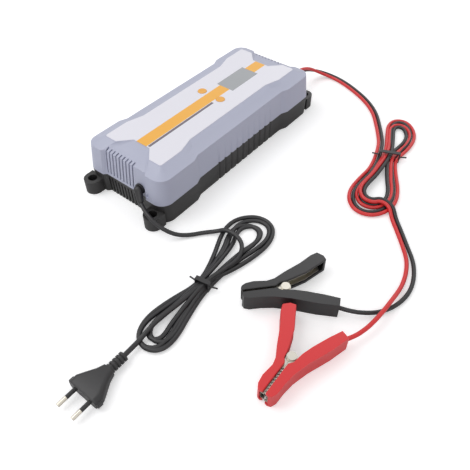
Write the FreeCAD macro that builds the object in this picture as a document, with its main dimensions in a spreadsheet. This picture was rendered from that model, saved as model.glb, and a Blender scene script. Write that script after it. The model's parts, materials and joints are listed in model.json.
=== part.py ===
import FreeCAD, Part
import Sketcher
import math
import os

# A mains battery charger for cars: a two-part plastic case with vents at both ends, a power
# board with its parts and a fan inside, a mains lead with a flat two-pin plug, and a red and
# a black output lead, each with a sprung battery clamp. Millimetres, +X from the mains end to
# the output end, +Z up. The origin is on the standing surface, under the middle of the case.

doc = FreeCAD.newDocument("battery_charger")
dim = doc.addObject("Spreadsheet::Sheet", "dim")

sizes = {
    # case: half sizes at the parting plane, and the heights of the shell's edges
    "caseHalfLong": 145.5, "caseHalfWide": 61.2, "partingUp": 25.7, "shoulderUp": 57.8,
    "bevelUp": 61.0, "caseUp": 64.3, "wall": 2.6, "floorThick": 2.6, "baseTaper": 0.8,
    # the waist along the long sides and the dent in the end faces
    "waist": 3.8, "waistOut": 90.0, "waistIn": 80.5, "dent": 3.5, "dentOut": 34.5, "dentIn": 31.0,
    "cornerRound": 15.0, "endDraft": 4.0, "sideDraft": 1.9,
    # where the broad shoulder meets the steep bevel round the label
    "bevelInLong": 14.0, "bevelInWide": 10.7, "bevelWaist": 6.0, "bevelWaistOut": 91.0,
    "bevelWaistIn": 76.0, "bevelDent": 6.6, "bevelDentOut": 30.0, "bevelDentIn": 20.0,
    # the flat top that carries the label
    "topHalfLong": 125.6, "topHalfWide": 43.6, "topWaist": 6.1, "topWaistOut": 92.4,
    "topWaistIn": 71.2, "topNotch": 14.4, "topNotchOut": 25.8, "topNotchIn": 12.1,
    "labelThick": 0.5, "labelInset": 0.8, "fitGap": 0.3,
    # vents and flutes
    "ventWide": 1.9, "ventPitch": 5.2, "ventCount": 9, "ventFirst": -12.4, "ventFoot": 28.5,
    "ventReach": 133.0, "fluteCount": 10, "flutePitch": 11.4, "fluteWide": 6.6, "fluteFirst": -46.0,
    "fluteDeep": 1.5, "combDeep": 1.5, "combUp": 22.0,
    # ears with a counterbored hole for a wall screw
    "earOut": 151.0, "earSide": 48.5, "earRound": 10.5, "earHigh": 17.0, "earHole": 2.75,
    "earBore": 5.5, "earSeat": 5.0,
    # screws that close the case
    "bossLong": 132.0, "bossWide": 46.0, "bossRound": 4.0, "bossTop": 58.6, "bossBase": 5.0,
    "shellScrew": 1.5, "shellPilot": 1.6, "shellScrewLong": 30.0, "shellHead": 3.6,
    "shellHeadHigh": 2.8, "shellHeadBore": 4.0, "shellSeat": 17.0, "shellPass": 2.1, "bossCap": 4.0,
    "dimpleSide": -38.0, "dimpleUp": 32.6, "dimpleRound": 2.5, "dimpleDeep": 1.2,
    # display, keys and their board under the top
    "lcdFrom": 35.4, "lcdTo": 87.0, "lcdHalf": 12.7,
    "keyLong": 11.2, "keyModeSide": 16.5, "keySetSide": -12.6, "keyRound": 5.6, "keyRunning": 0.25,
    "keyProud": 0.6, "keyFlange": 7.0, "keyTravel": 0.6, "keyFlangeThick": 1.2, "keyNub": 1.0,
    "uiBoardUp": 54.0, "boardThick": 1.6, "uiPostRound": 2.5, "uiPostNear": 0.0, "uiPostFar": 72.0,
    "uiPostSide": 20.0, "keySwitch": 6.0,
    # power board
    "boardFrom": -124.0, "boardTo": 104.0, "boardHalf": 50.0, "boardUp": 9.0, "standRound": 4.0,
    "standLong": 94.0, "standMid": -66.0, "standFar": -114.0, "standSide": 44.0,
    "boardPilot": 1.2, "boardScrew": 1.15, "boardPass": 1.7, "boardHead": 2.7, "boardHeadHigh": 2.0,
    # parts on the power board
    "coreFrom": -26.0, "coreSide": -22.0, "coreLong": 46.0, "coreDeep": 20.0, "coreHigh": 38.0,
    "coreRim": 7.0, "coreWindow": 10.0, "coilProud": 7.0, "capAlong": -66.0, "capSide": 14.0,
    "capRound": 15.0, "capHigh": 36.0, "outCapFirst": 50.0, "outCapPitch": 15.0, "outCapSide": 18.0,
    "outCapRound": 6.3, "outCapHigh": 24.0, "inductorAlong": 68.0, "inductorSide": -14.0,
    "inductorRing": 13.0, "inductorWire": 6.0, "chokeAlong": -98.0, "chokeSide": 12.0,
    "chokeRing": 9.0, "chokeWire": 5.0, "fuseFrom": -112.0, "fuseSide": -8.0, "fuseUp": 3.1,
    "fuseRound": 2.6, "fuseLong": 20.0, "clipLong": 5.0, "clipWall": 0.8, "bridgeFrom": -98.0,
    "bridgeSide": -40.0, "bridgeLong": 26.0, "bridgeThick": 4.6, "bridgeHigh": 22.0,
    "sinkFrom": -56.0, "sinkTo": 34.0, "sinkThick": 3.0, "sinkHigh": 34.0, "sinkInSide": -47.0,
    "sinkOutSide": 43.0, "finLong": 5.0, "finThick": 1.6, "finCount": 9, "deviceFirst": -40.0,
    "devicePitch": 28.0, "deviceUp": 4.0, "deviceWide": 10.0, "deviceThick": 4.5, "deviceHigh": 15.0,
    "terminalLong": 8.0, "terminalDeep": 16.0, "terminalHigh": 12.0,
    # fan
    "fanHalf": 25.0, "fanThick": 15.0, "fanNear": 113.0, "fanBore": 23.0, "hubRound": 10.0,
    "bladeTip": 22.0, "bladeThick": 1.6, "spindle": 1.5, "spindleBore": 1.56, "fanSide": 0.0,
    # grommets and leads
    "leadSide": -24.0, "leadUp": 34.0, "glandFlange": 6.4, "glandNeck": 5.2, "glandHole": 5.4,
    "mainsRound": 2.4, "outputRound": 2.2, "outputApart": 4.8,
    # plug
    "plugFace": -335.0, "plugSide": -146.0, "plugUp": 7.0, "pinRound": 2.0, "pinLong": 19.0,
    "pinHalfApart": 9.3, "sleeveRound": 1.98, "pinCore": 1.65, "pinBuried": 11.5, "sleeveFit": 0.02, "sleeveLong": 10.0,
    # clamps
    "clampThick": 19.0, "leverInset": 0.5, "clampWall": 2.5, "rivetRound": 2.5, "rivetHead": 4.4,
    "metalThick": 1.2, "lugRound": 5.0, "metalGap": 0.3, "toothDeep": 1.6, "rivetRunning": 0.06,
}
for row, (name, value) in enumerate(sizes.items(), start=1):
    dim.set(f"A{row}", name)
    dim.set(f"B{row}", str(value))
    dim.setAlias(f"B{row}", name)
doc.recompute()

up = FreeCAD.Vector(0, 0, 1)
parts = []


# ---- small helpers: expressions, sketches and features ----

def link(text):
    """An expression in the sheet's names, as other objects have to write it."""
    words = []
    word = ""
    for letter in str(text) + " ":
        if letter.isalnum():
            word += letter
            continue
        words.append("dim." + word if word in sizes else word)
        words.append(letter)
        word = ""
    return "".join(words).strip()


def number(text):
    return float(parts_root.evalExpression(link(text)))


def is_plain(text):
    return not any(letter.isalpha() for letter in str(text))


def new_body(label):
    body = doc.addObject("PartDesign::Body", label)
    body.Label = label
    parts.append(body)
    return body


def origin_item(body, role):
    return [item for item in body.Origin.OriginFeatures if item.Role == role][0]


def sketch(body, plane="XY_Plane", level="0"):
    made = body.newObject("Sketcher::SketchObject", body.Name + "Sketch")
    made.AttachmentSupport = [(origin_item(body, plane), "")]
    made.MapMode = "FlatFace"
    made.setExpression("AttachmentOffset.Base.z", link(level))
    return made


def place(flat, kind, geometry, point, text):
    """Ties one coordinate of a sketch point to an expression."""
    at = flat.addConstraint(Sketcher.Constraint(kind, geometry, point, number(text)))
    if not is_plain(text):
        flat.setExpression(f"Constraints[{at}]", link(text))


def outline(flat, points, rounds=None):
    """A closed outline. rounds gives the radius of each side that is a quarter round."""
    rounds = rounds or {}
    spots = [FreeCAD.Vector(number(x), number(y), 0) for x, y in points]
    middle = FreeCAD.Vector()
    for spot in spots:
        middle = middle + spot * (1.0 / len(spots))
    sides = []
    for at, spot in enumerate(spots):
        after = spots[(at + 1) % len(spots)]
        if at not in rounds:
            sides.append((flat.addGeometry(Part.LineSegment(spot, after), False), False))
            continue
        centres = [FreeCAD.Vector(spot.x, after.y, 0), FreeCAD.Vector(after.x, spot.y, 0)]
        centre = min(centres, key=lambda c: c.distanceToPoint(middle))
        turn = (spot - centre).cross(after - centre).z
        first, last = (spot, after) if turn > 0 else (after, spot)
        start = math.atan2(first.y - centre.y, first.x - centre.x)
        circle = Part.Circle(centre, up, centre.distanceToPoint(spot))
        arc = Part.ArcOfCircle(circle, start, start + math.pi / 2)
        sides.append((flat.addGeometry(arc, False), turn < 0))
    for at, (side, backwards) in enumerate(sides):
        after, after_backwards = sides[(at + 1) % len(sides)]
        near_end = 1 if backwards else 2
        far_start = 2 if after_backwards else 1
        flat.addConstraint(Sketcher.Constraint("Coincident", side, near_end, after, far_start))
    for at, (side, backwards) in enumerate(sides):
        start_point = 2 if backwards else 1
        place(flat, "DistanceX", side, start_point, points[at][0])
        place(flat, "DistanceY", side, start_point, points[at][1])
        if at in rounds:
            radius = number(rounds[at])
            held = flat.addConstraint(Sketcher.Constraint("Radius", side, radius))
            if not is_plain(rounds[at]):
                flat.setExpression(f"Constraints[{held}]", link(rounds[at]))
    return flat


def circle(flat, x, y, radius):
    middle = FreeCAD.Vector(number(x), number(y), 0)
    made = flat.addGeometry(Part.Circle(middle, up, number(radius)), False)
    place(flat, "DistanceX", made, 3, x)
    place(flat, "DistanceY", made, 3, y)
    place_radius = flat.addConstraint(Sketcher.Constraint("Radius", made, number(radius)))
    if not is_plain(radius):
        flat.setExpression(f"Constraints[{place_radius}]", link(radius))
    return flat


def box_outline(flat, x0, x1, y0, y1):
    return outline(flat, [(x0, y0), (x1, y0), (x1, y1), (x0, y1)])


def rounded_box(flat, x0, x1, y0, y1, r):
    points = [(f"{x0} + {r}", y0), (f"{x1} - {r}", y0), (x1, f"{y0} + {r}"), (x1, f"{y1} - {r}"),
              (f"{x1} - {r}", y1), (f"{x0} + {r}", y1), (x0, f"{y1} - {r}"), (x0, f"{y0} + {r}")]
    return outline(flat, points, {1: r, 3: r, 5: r, 7: r})


def pad(body, flat, length, back=False):
    made = body.newObject("PartDesign::Pad", body.Name + "Pad")
    made.Profile = flat
    made.setExpression("Length", link(length))
    made.Reversed = back
    doc.recompute()
    return made


def pocket(body, flat, length, back=False):
    """Cuts, and stops the build if the cut missed the solid."""
    before = body.Shape.Volume
    made = body.newObject("PartDesign::Pocket", body.Name + "Pocket")
    made.Profile = flat
    made.setExpression("Length", link(length))
    made.Reversed = back
    doc.recompute()
    if body.Shape.Volume > before - 0.01:
        raise RuntimeError(body.Label + ": a pocket cut nothing")
    return made


def loft(body, flats, cut=False, ruled=True):
    kind = "PartDesign::SubtractiveLoft" if cut else "PartDesign::AdditiveLoft"
    made = body.newObject(kind, body.Name + "Loft")
    made.Profile = flats[0]
    made.Sections = flats[1:]
    made.Ruled = ruled
    doc.recompute()
    return made


def row_of(body, feature, axis, count, pitch):
    made = body.newObject("PartDesign::LinearPattern", body.Name + "Row")
    made.Originals = [feature]
    made.Direction = (origin_item(body, axis), [""])
    made.setExpression("Length", link(f"({count} - 1) * {pitch}"))
    made.setExpression("Occurrences", link(count))
    body.Tip = made
    doc.recompute()
    return made


def rounded_edges(body, radius, chosen):
    """Rounds the edges that the test picks out."""
    names = [f"Edge{at}" for at, edge in enumerate(body.Shape.Edges, start=1) if chosen(edge)]
    rounded = body.Tip
    made = body.newObject("PartDesign::Fillet", body.Name + "Fillet")
    made.Base = (rounded, names)
    made.Radius = radius
    doc.recompute()
    return made


def slab(label, x0, x1, y0, y1, z0, high):
    body = new_body(label)
    pad(body, box_outline(sketch(body, level=z0), x0, x1, y0, y1), high)
    return body


def at_corners():
    return [(sx, sy) for sx in (1, -1) for sy in (1, -1)]


def primitive(kind, name, base, **lengths):
    """A Part primitive whose lengths and place are tied to the sheet."""
    made = doc.addObject(kind, name)
    for key, text in lengths.items():
        made.setExpression(key, link(text))
    for axis, text in zip("xyz", base):
        made.setExpression(f"Placement.Base.{axis}", link(text))
    return made


def group(label, members):
    """Several separate solids of one kind, kept as one node."""
    made = doc.addObject("Part::Compound", label)
    made.Label = label
    made.Links = members
    parts.append(made)
    return made


def shaped(label, shape):
    made = doc.addObject("Part::Feature", label)
    made.Label = label
    made.Shape = shape
    parts.append(made)
    return made


parts_root = doc.addObject("App::FeaturePython", "reader")


# ---- the case ----

def dog_bone(flat, long, wide, waist, waist_out, waist_in, dent, dent_out, dent_in, corner):
    """The waisted outline with dented ends that every level of the case has."""
    quarter = [(f"{long} - ({dent})", dent_in), (long, dent_out), (long, f"{wide} - ({corner})"),
               (f"{long} - ({corner})", wide), (waist_out, wide), (waist_in, f"{wide} - ({waist})")]
    points = []
    for sx, sy, turned in ((1, 1, False), (-1, 1, True), (-1, -1, False), (1, -1, True)):
        corner_points = [(f"{sx} * ({x})", f"{sy} * ({y})") for x, y in quarter]
        points += corner_points[::-1] if turned else corner_points
    return outline(flat, points, {2: corner, 8: corner, 14: corner, 20: corner})


def parting_outline(body, level, inset="0"):
    return dog_bone(sketch(body, level=level), f"(caseHalfLong - {inset})", f"(caseHalfWide - {inset})",
                    "waist", "waistOut", "waistIn", "dent", "dentOut", "dentIn",
                    f"(cornerRound - {inset})")


def shoulder_outline(body, level, inset="0"):
    return dog_bone(sketch(body, level=level), f"(caseHalfLong - endDraft - {inset})",
                    f"(caseHalfWide - sideDraft - {inset})", "waist", "waistOut", "waistIn", "dent",
                    "dentOut", "dentIn", f"(cornerRound - 1 - {inset})")


def bevel_outline(body, level, inset="0"):
    return dog_bone(sketch(body, level=level), f"(caseHalfLong - bevelInLong - {inset})",
                    f"(caseHalfWide - bevelInWide - {inset})", "bevelWaist", "bevelWaistOut",
                    "bevelWaistIn", "bevelDent", "bevelDentOut", "bevelDentIn",
                    f"(cornerRound - 9 - {inset})")


def top_outline(body, level, inset="0", corner="3"):
    return dog_bone(sketch(body, level=level), f"(topHalfLong - {inset})", f"(topHalfWide - {inset})",
                    "topWaist", "topWaistOut", "topWaistIn", "topNotch", "topNotchOut",
                    "topNotchIn", corner)


def flute_outline(body, level):
    """One V groove in each long side."""
    flat = sketch(body, level=level)
    floor = "(caseHalfWide - waist - fluteDeep)"
    for side in (1, -1):
        points = [("fluteFirst", f"{side} * {floor}"),
                  ("fluteFirst - fluteWide / 2", f"{side} * (caseHalfWide - waist + 0.5)"),
                  ("fluteFirst + fluteWide / 2", f"{side} * (caseHalfWide - waist + 0.5)")]
        outline(flat, points)
    return flat


def upper_shell():
    body = new_body("upper_shell")
    loft(body, [parting_outline(body, "partingUp"), shoulder_outline(body, "shoulderUp"),
                bevel_outline(body, "bevelUp"), top_outline(body, "caseUp")])
    loft(body, [parting_outline(body, "partingUp", "wall"),
                shoulder_outline(body, "shoulderUp - wall", "wall"),
                bevel_outline(body, "bevelUp - wall", "wall"),
                top_outline(body, "caseUp - wall", "wall")], cut=True)
    flute = pocket(body, flute_outline(body, "partingUp"), "shoulderUp - partingUp", back=True)
    row_of(body, flute, "X_Axis", "fluteCount", "flutePitch")
    for end in (-1, 1):
        flat = sketch(body, "XY_Plane", "ventFoot")
        box_outline(flat, f"{end} * ventReach", f"{end} * (caseHalfLong + 2)",
                    "ventFirst - ventWide / 2", "ventFirst + ventWide / 2")
        vent = pocket(body, flat, "caseUp - ventFoot", back=True)
        row_of(body, vent, "Y_Axis", "ventCount", "ventPitch")
    flat = sketch(body, "XY_Plane", "caseUp")
    box_outline(flat, "lcdFrom - fitGap", "lcdTo + fitGap", "-lcdHalf - fitGap", "lcdHalf + fitGap")
    for side in ("keyModeSide", "keySetSide"):
        circle(flat, "keyLong", side, "keyRound + keyRunning")
    pocket(body, flat, "wall + 1")
    flat = sketch(body, "YZ_Plane", "-caseHalfLong - 1")
    circle(flat, "leadSide", "leadUp", "glandHole")
    pocket(body, flat, "wall + endDraft + dent + 3", back=True)
    flat = sketch(body, "YZ_Plane", "caseHalfLong + 1")
    circle(flat, "leadSide", "leadUp", "glandHole")
    pocket(body, flat, "wall + endDraft + dent + 3")
    flat = sketch(body, "XY_Plane", "partingUp")
    for sx, sy in at_corners():
        circle(flat, f"{sx} * bossLong", f"{sy} * bossWide", "bossRound")
    pad(body, flat, "bossTop - partingUp")
    flat = sketch(body, "XY_Plane", "partingUp")
    for sx, sy in at_corners():
        circle(flat, f"{sx} * bossLong", f"{sy} * bossWide", "shellPilot")
    pocket(body, flat, "bossTop - partingUp - bossCap", back=True)
    flat = sketch(body, level="uiBoardUp + boardThick")
    for x in ("uiPostNear", "uiPostFar"):
        for sy in (1, -1):
            circle(flat, x, f"{sy} * uiPostSide", "uiPostRound")
    pad(body, flat, "caseUp - wall / 2 - uiBoardUp - boardThick")
    flat = circle(sketch(body, "YZ_Plane", "-caseHalfLong - 1"), "dimpleSide", "dimpleUp", "dimpleRound")
    pocket(body, flat, "1 + endDraft * (dimpleUp - partingUp) / (shoulderUp - partingUp) + dimpleDeep",
           back=True)
    return body


def ear_outline(flat, sx, sy):
    side = f"{sy} * earSide"
    near = f"{sx} * (caseHalfLong - dent)"
    points = [(near, f"{side} - {sy} * earRound"), (f"{sx} * earOut", f"{side} - {sy} * earRound"),
              (f"{sx} * (earOut + earRound)", side), (f"{sx} * earOut", f"{side} + {sy} * earRound"),
              (near, f"{side} + {sy} * earRound")]
    outline(flat, points, {1: "earRound", 2: "earRound"})


def lower_shell():
    body = new_body("lower_shell")
    foot = dog_bone(sketch(body), "caseHalfLong - baseTaper", "caseHalfWide - baseTaper / 2",
                    "waist", "waistOut", "waistIn", "dent", "dentOut", "dentIn", "cornerRound")
    loft(body, [foot, parting_outline(body, "partingUp")])
    flat = sketch(body)
    for sx, sy in at_corners():
        ear_outline(flat, sx, sy)
    pad(body, flat, "earHigh")
    inside = dog_bone(sketch(body, level="floorThick"), "(caseHalfLong - baseTaper - wall)",
                      "(caseHalfWide - baseTaper / 2 - wall)", "waist", "waistOut", "waistIn",
                      "dent", "dentOut", "dentIn", "(cornerRound - wall)")
    loft(body, [inside, parting_outline(body, "partingUp", "wall")], cut=True)
    flute = pocket(body, flute_outline(body, "0"), "partingUp", back=True)
    row_of(body, flute, "X_Axis", "fluteCount", "flutePitch")
    for end in (-1, 1):
        flat = sketch(body)
        box_outline(flat, f"{end} * (caseHalfLong - dent - baseTaper - combDeep)",
                    f"{end} * (caseHalfLong + 1)", "ventFirst - ventWide / 2",
                    "ventFirst + ventWide / 2")
        comb = pocket(body, flat, "combUp", back=True)
        row_of(body, comb, "Y_Axis", "ventCount", "ventPitch")
    flat = sketch(body)
    for sx, sy in at_corners():
        circle(flat, f"{sx} * earOut", f"{sy} * earSide", "earHole")
    pocket(body, flat, "earHigh", back=True)
    flat = sketch(body, level="earSeat")
    for sx, sy in at_corners():
        circle(flat, f"{sx} * earOut", f"{sy} * earSide", "earBore")
    pocket(body, flat, "earHigh - earSeat", back=True)
    flat = sketch(body)
    for sx, sy in at_corners():
        circle(flat, f"{sx} * bossLong", f"{sy} * bossWide", "bossBase")
    pad(body, flat, "partingUp")
    flat = sketch(body)
    for sx, sy in at_corners():
        circle(flat, f"{sx} * bossLong", f"{sy} * bossWide", "shellPass")
    pocket(body, flat, "partingUp", back=True)
    flat = sketch(body)
    for sx, sy in at_corners():
        circle(flat, f"{sx} * bossLong", f"{sy} * bossWide", "shellHeadBore")
    pocket(body, flat, "shellSeat", back=True)
    flat = sketch(body, level="floorThick")
    for x in board_fixings:
        for sy in (1, -1):
            circle(flat, x, f"{sy} * standSide", "standRound")
    pad(body, flat, "boardUp - floorThick")
    flat = sketch(body, level="boardUp")
    for x in board_fixings:
        for sy in (1, -1):
            circle(flat, x, f"{sy} * standSide", "boardPilot")
    pocket(body, flat, "boardUp - floorThick")
    return body


board_fixings = ("standLong", "standMid", "standFar")


def top_pieces():
    body = new_body("label_overlay")
    flat = top_outline(body, "caseUp", "labelInset", "2.5")
    box_outline(flat, "lcdFrom", "lcdTo", "-lcdHalf", "lcdHalf")
    for side in ("keyModeSide", "keySetSide"):
        circle(flat, "keyLong", side, "keyRound + keyRunning")
    pad(body, flat, "labelThick")

    body = new_body("lcd_window")
    pad(body, box_outline(sketch(body, level="caseUp + labelThick"), "lcdFrom + fitGap / 2",
                          "lcdTo - fitGap / 2", "-lcdHalf + fitGap / 2", "lcdHalf - fitGap / 2"),
        "labelThick + wall", back=True)

    for label, side in (("key_mode", "keyModeSide"), ("key_set", "keySetSide")):
        body = new_body(label)
        flange_top = "(caseUp - wall - fitGap)"
        pad(body, circle(sketch(body, level=flange_top), "keyLong", side, "keyFlange"),
            "keyFlangeThick", back=True)
        pad(body, circle(sketch(body, level=flange_top), "keyLong", side, "keyRound"),
            f"caseUp + labelThick + keyProud - {flange_top}")
        pad(body, circle(sketch(body, level=f"{flange_top} - keyFlangeThick"), "keyLong", side, "2"),
            "keyNub", back=True)
        rounded_edges(body, 0.5, lambda edge: abs(edge.BoundBox.ZMin - number(
            "caseUp + labelThick + keyProud")) < 0.01)

    slab("display_board", "keyLong - 14", "lcdTo + 6", "keySetSide - 12", "keyModeSide + 8",
         "uiBoardUp", "boardThick")
    slab("lcd_module", "lcdFrom - 2", "lcdTo + 2", "-lcdHalf - 1.5", "lcdHalf + 1.5",
         "uiBoardUp + boardThick", "caseUp - wall - fitGap - uiBoardUp - boardThick")
    switch_high = ("caseUp - wall - 2 * fitGap - keyFlangeThick - keyNub - keyTravel"
                   " - uiBoardUp - boardThick")
    switches = []
    for side in ("keyModeSide", "keySetSide"):
        corner = ("keyLong - keySwitch / 2", f"{side} - keySwitch / 2", "uiBoardUp + boardThick")
        switches.append(primitive("Part::Box", "switchBox", corner, Length="keySwitch",
                                  Width="keySwitch", Height=switch_high))
    group("key_switches", switches)


# ---- inside ----

def board_pieces():
    body = new_body("main_board")
    flat = box_outline(sketch(body, level="boardUp"), "boardFrom", "boardTo", "-boardHalf", "boardHalf")
    for x in board_fixings:
        for sy in (1, -1):
            circle(flat, x, f"{sy} * standSide", "boardPass")
    pad(body, flat, "boardThick")

    screws = []
    for x in board_fixings:
        for sy in (1, -1):
            spot = (x, f"{sy} * standSide")
            head = primitive("Part::Cylinder", "boardHead", (*spot, "boardUp + boardThick"),
                             Radius="boardHead", Height="boardHeadHigh")
            shank = primitive("Part::Cylinder", "boardShank", (*spot, "floorThick + 0.5"),
                              Radius="boardScrew", Height="boardUp + boardThick + 0.5 - floorThick")
            screws.append(fused("boardScrewSolid", [head, shank]))
    group("board_screws", screws)

    screws = []
    for sx, sy in at_corners():
        spot = (f"{sx} * bossLong", f"{sy} * bossWide")
        head = primitive("Part::Cylinder", "shellHeadSolid", (*spot, "shellSeat - shellHeadHigh"),
                         Radius="shellHead", Height="shellHeadHigh")
        shank = primitive("Part::Cylinder", "shellShank", (*spot, "shellSeat - 1"),
                          Radius="shellScrew", Height="shellScrewLong + 1")
        screws.append(fused("shellScrewSolid", [head, shank]))
    group("shell_screws", screws)


def fused(name, members):
    made = doc.addObject("Part::MultiFuse", name)
    made.Shapes = members
    return made


def cut(name, base, tool):
    made = doc.addObject("Part::Cut", name)
    made.Base = base
    made.Tool = tool
    return made


boardTop = "(boardUp + boardThick)"


def named(label, made):
    made.Label = label
    parts.append(made)
    return made


def transformer():
    core = primitive("Part::Box", "coreOuter", ("coreFrom", "coreSide", boardTop), Length="coreLong",
                     Width="coreDeep", Height="coreHigh")
    leg_wide = "(coreLong - 2 * coreWindow - 2 * coreRim)"
    windows = [primitive("Part::Box", "coreOpening", (x, "coreSide - 1", f"{boardTop} + coreRim"),
                         Length="coreWindow", Width="coreDeep + 2", Height="coreHigh - 2 * coreRim")
               for x in ("coreFrom + coreRim", f"coreFrom + coreRim + coreWindow + {leg_wide}")]
    named("transformer_core", cut("coreCut", core, fused("coreWindows", windows)))
    coil = primitive("Part::Box", "coilOuter",
                     ("coreFrom + coreRim + fitGap", "coreSide - coilProud", f"{boardTop} + coreRim + fitGap"),
                     Length="coreLong - 2 * coreRim - 2 * fitGap", Width="coreDeep + 2 * coilProud",
                     Height="coreHigh - 2 * coreRim - 2 * fitGap")
    leg = primitive("Part::Box", "coilLeg",
                    ("coreFrom + coreRim + coreWindow - fitGap", "coreSide - fitGap", f"{boardTop} + coreRim"),
                    Length=f"{leg_wide} + 2 * fitGap", Width="coreDeep + 2 * fitGap",
                    Height="coreHigh - 2 * coreRim")
    named("transformer_winding", cut("coilCut", coil, leg))


def capacitors():
    named("mains_capacitor", primitive("Part::Cylinder", "mainsCapacitor", ("capAlong", "capSide", boardTop),
                                       Radius="capRound", Height="capHigh"))
    cans = [primitive("Part::Cylinder", "outputCapacitor",
                      (f"outCapFirst + {at} * outCapPitch", "outCapSide", boardTop),
                      Radius="outCapRound", Height="outCapHigh") for at in range(3)]
    group("output_capacitors", cans)


def wound_ring(label, name):
    """A toroidal choke lying flat on the board."""
    ring = doc.addObject("Part::Torus", name)
    ring.setExpression("Radius1", link(name + "Ring"))
    ring.setExpression("Radius2", link(name + "Wire"))
    ring.setExpression("Placement.Base.x", link(name + "Along"))
    ring.setExpression("Placement.Base.y", link(name + "Side"))
    ring.setExpression("Placement.Base.z", link(f"{boardTop} + {name}Wire"))
    named(label, ring)


def fuse_and_clips():
    glass = primitive("Part::Cylinder", "fuse", ("fuseFrom", "fuseSide", f"{boardTop} + fuseUp"),
                      Radius="fuseRound", Height="fuseLong")
    glass.Placement.Rotation = FreeCAD.Rotation(up, FreeCAD.Vector(1, 0, 0))
    named("mains_fuse", glass)
    clips = []
    for x in ("fuseFrom", "(fuseFrom + fuseLong - clipLong)"):
        half = "(fuseRound + fitGap / 3)"
        block = primitive("Part::Box", "fuseClip", (x, f"fuseSide - {half} - clipWall", boardTop),
                          Length="clipLong", Width=f"2 * ({half} + clipWall)", Height="fuseUp")
        trough = primitive("Part::Box", "fuseTrough",
                           (f"{x} - 1", f"fuseSide - {half}", f"{boardTop} + fuseUp - {half}"),
                           Length="clipLong + 2", Width=f"2 * {half}", Height="fuseUp")
        clips.append(cut("fuseClipCut", block, trough))
    group("fuse_clips", clips)


def heat_sink(label, side, way):
    """A finned plate on edge. side is its inner face and way the side its fins point to."""
    body = new_body(label)
    pad(body, box_outline(sketch(body, level=boardTop), "sinkFrom", "sinkTo", side,
                          f"{side} + {way} * sinkThick"), "sinkHigh")
    flat = box_outline(sketch(body, level=boardTop), "sinkFrom", "sinkFrom + finThick",
                       f"{side} + {way} * sinkThick / 2", f"{side} + {way} * (sinkThick + finLong)")
    fin = pad(body, flat, "sinkHigh")
    row_of(body, fin, "X_Axis", "finCount", "(sinkTo - sinkFrom - finThick) / (finCount - 1)")


def power_parts():
    transformer()
    capacitors()
    wound_ring("output_inductor", "inductor")
    wound_ring("input_choke", "choke")
    fuse_and_clips()
    named("rectifier_bridge", primitive("Part::Box", "bridge", ("bridgeFrom", "bridgeSide", boardTop),
                                        Length="bridgeLong", Width="bridgeThick", Height="bridgeHigh"))
    heat_sink("heat_sink_input", "sinkInSide", 1)
    heat_sink("heat_sink_output", "sinkOutSide", -1)
    devices = [primitive("Part::Box", "outputDevice",
                         (f"deviceFirst + {at} * devicePitch", "sinkOutSide", f"{boardTop} + deviceUp"),
                         Length="deviceWide", Width="deviceThick", Height="deviceHigh") for at in range(3)]
    group("power_transistors", devices)
    blocks = [primitive("Part::Box", "leadTerminal", (x, "leadSide - terminalDeep / 2", boardTop),
                        Length="terminalLong", Width="terminalDeep", Height="terminalHigh")
              for x in ("boardFrom + 2", "boardTo - 2 - terminalLong")]
    group("lead_terminals", blocks)


def fan():
    body = new_body("fan_frame")
    low = "floorThick"
    flat = sketch(body, "YZ_Plane", "fanNear")
    box_outline(flat, "-fanHalf", "fanHalf", low, f"{low} + 2 * fanHalf")
    circle(flat, "fanSide", f"{low} + fanHalf", "fanBore")
    pad(body, flat, "fanThick")
    flat = sketch(body, "YZ_Plane", "fanNear + fanThick")
    circle(flat, "fanSide", f"{low} + fanHalf", "hubRound")
    circle(flat, "fanSide", f"{low} + fanHalf", "spindleBore")
    pad(body, flat, "3", back=True)
    flat = sketch(body, "YZ_Plane", "fanNear + fanThick")
    box_outline(flat, "hubRound - 0.5", "fanBore + 0.5", f"{low} + fanHalf - 1.5", f"{low} + fanHalf + 1.5")
    box_outline(flat, "-fanBore - 0.5", "-hubRound + 0.5", f"{low} + fanHalf - 1.5",
                f"{low} + fanHalf + 1.5")
    box_outline(flat, "-1.5", "1.5", f"{low} + fanHalf + hubRound - 0.5", f"{low} + fanHalf + fanBore + 0.5")
    box_outline(flat, "-1.5", "1.5", f"{low} + fanHalf - fanBore - 0.5", f"{low} + fanHalf - hubRound + 0.5")
    pad(body, flat, "2.4", back=True)

    body = new_body("fan_rotor")
    body.setExpression("Placement.Base.x", link("fanNear"))
    body.setExpression("Placement.Base.y", link("fanSide"))
    body.setExpression("Placement.Base.z", link("floorThick + fanHalf"))
    pad(body, circle(sketch(body, "YZ_Plane", "1"), "0", "0", "hubRound"), "10.4")
    pad(body, circle(sketch(body, "YZ_Plane", "5"), "0", "0", "spindle"), "fanThick - 5.3")
    flat = outline(sketch(body, "XY_Plane", "hubRound - 1"),
                   [("1.2", "-4.5"), ("1.2 + bladeThick * 1.3", "-4.5"), ("10.6", "4.5 - bladeThick"),
                    ("10.6", "4.5")])
    blade = pad(body, flat, "bladeTip - hubRound + 1")
    made = body.newObject("PartDesign::PolarPattern", "fanBlades")
    made.Originals = [blade]
    made.Axis = (origin_item(body, "X_Axis"), [""])
    made.Angle = 360
    made.Occurrences = 7
    body.Tip = made
    doc.recompute()


# ---- leads: routes chosen by hand, straight runs joined by tangent arcs ----

mainsRoute = [
    (-151.8, -32.7, 25.0), (-155.3, -40.5, 23.6), (-159.0, -50.5, 22.4), (-160.2, -62.0, 18.6),
    (-157.0, -73.0, 11.8), (-150.0, -83.0, 5.4), (-139.5, -92.0, 2.4), (-127.5, -101.0, 2.4),
    (-117.5, -112.0, 2.4),
]
mainsTailRoute = [(-268.0, -144.5, 5.0), (-277.5, -145.2, 6.0), (-287.0, -146.0, 7.0)]
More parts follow.
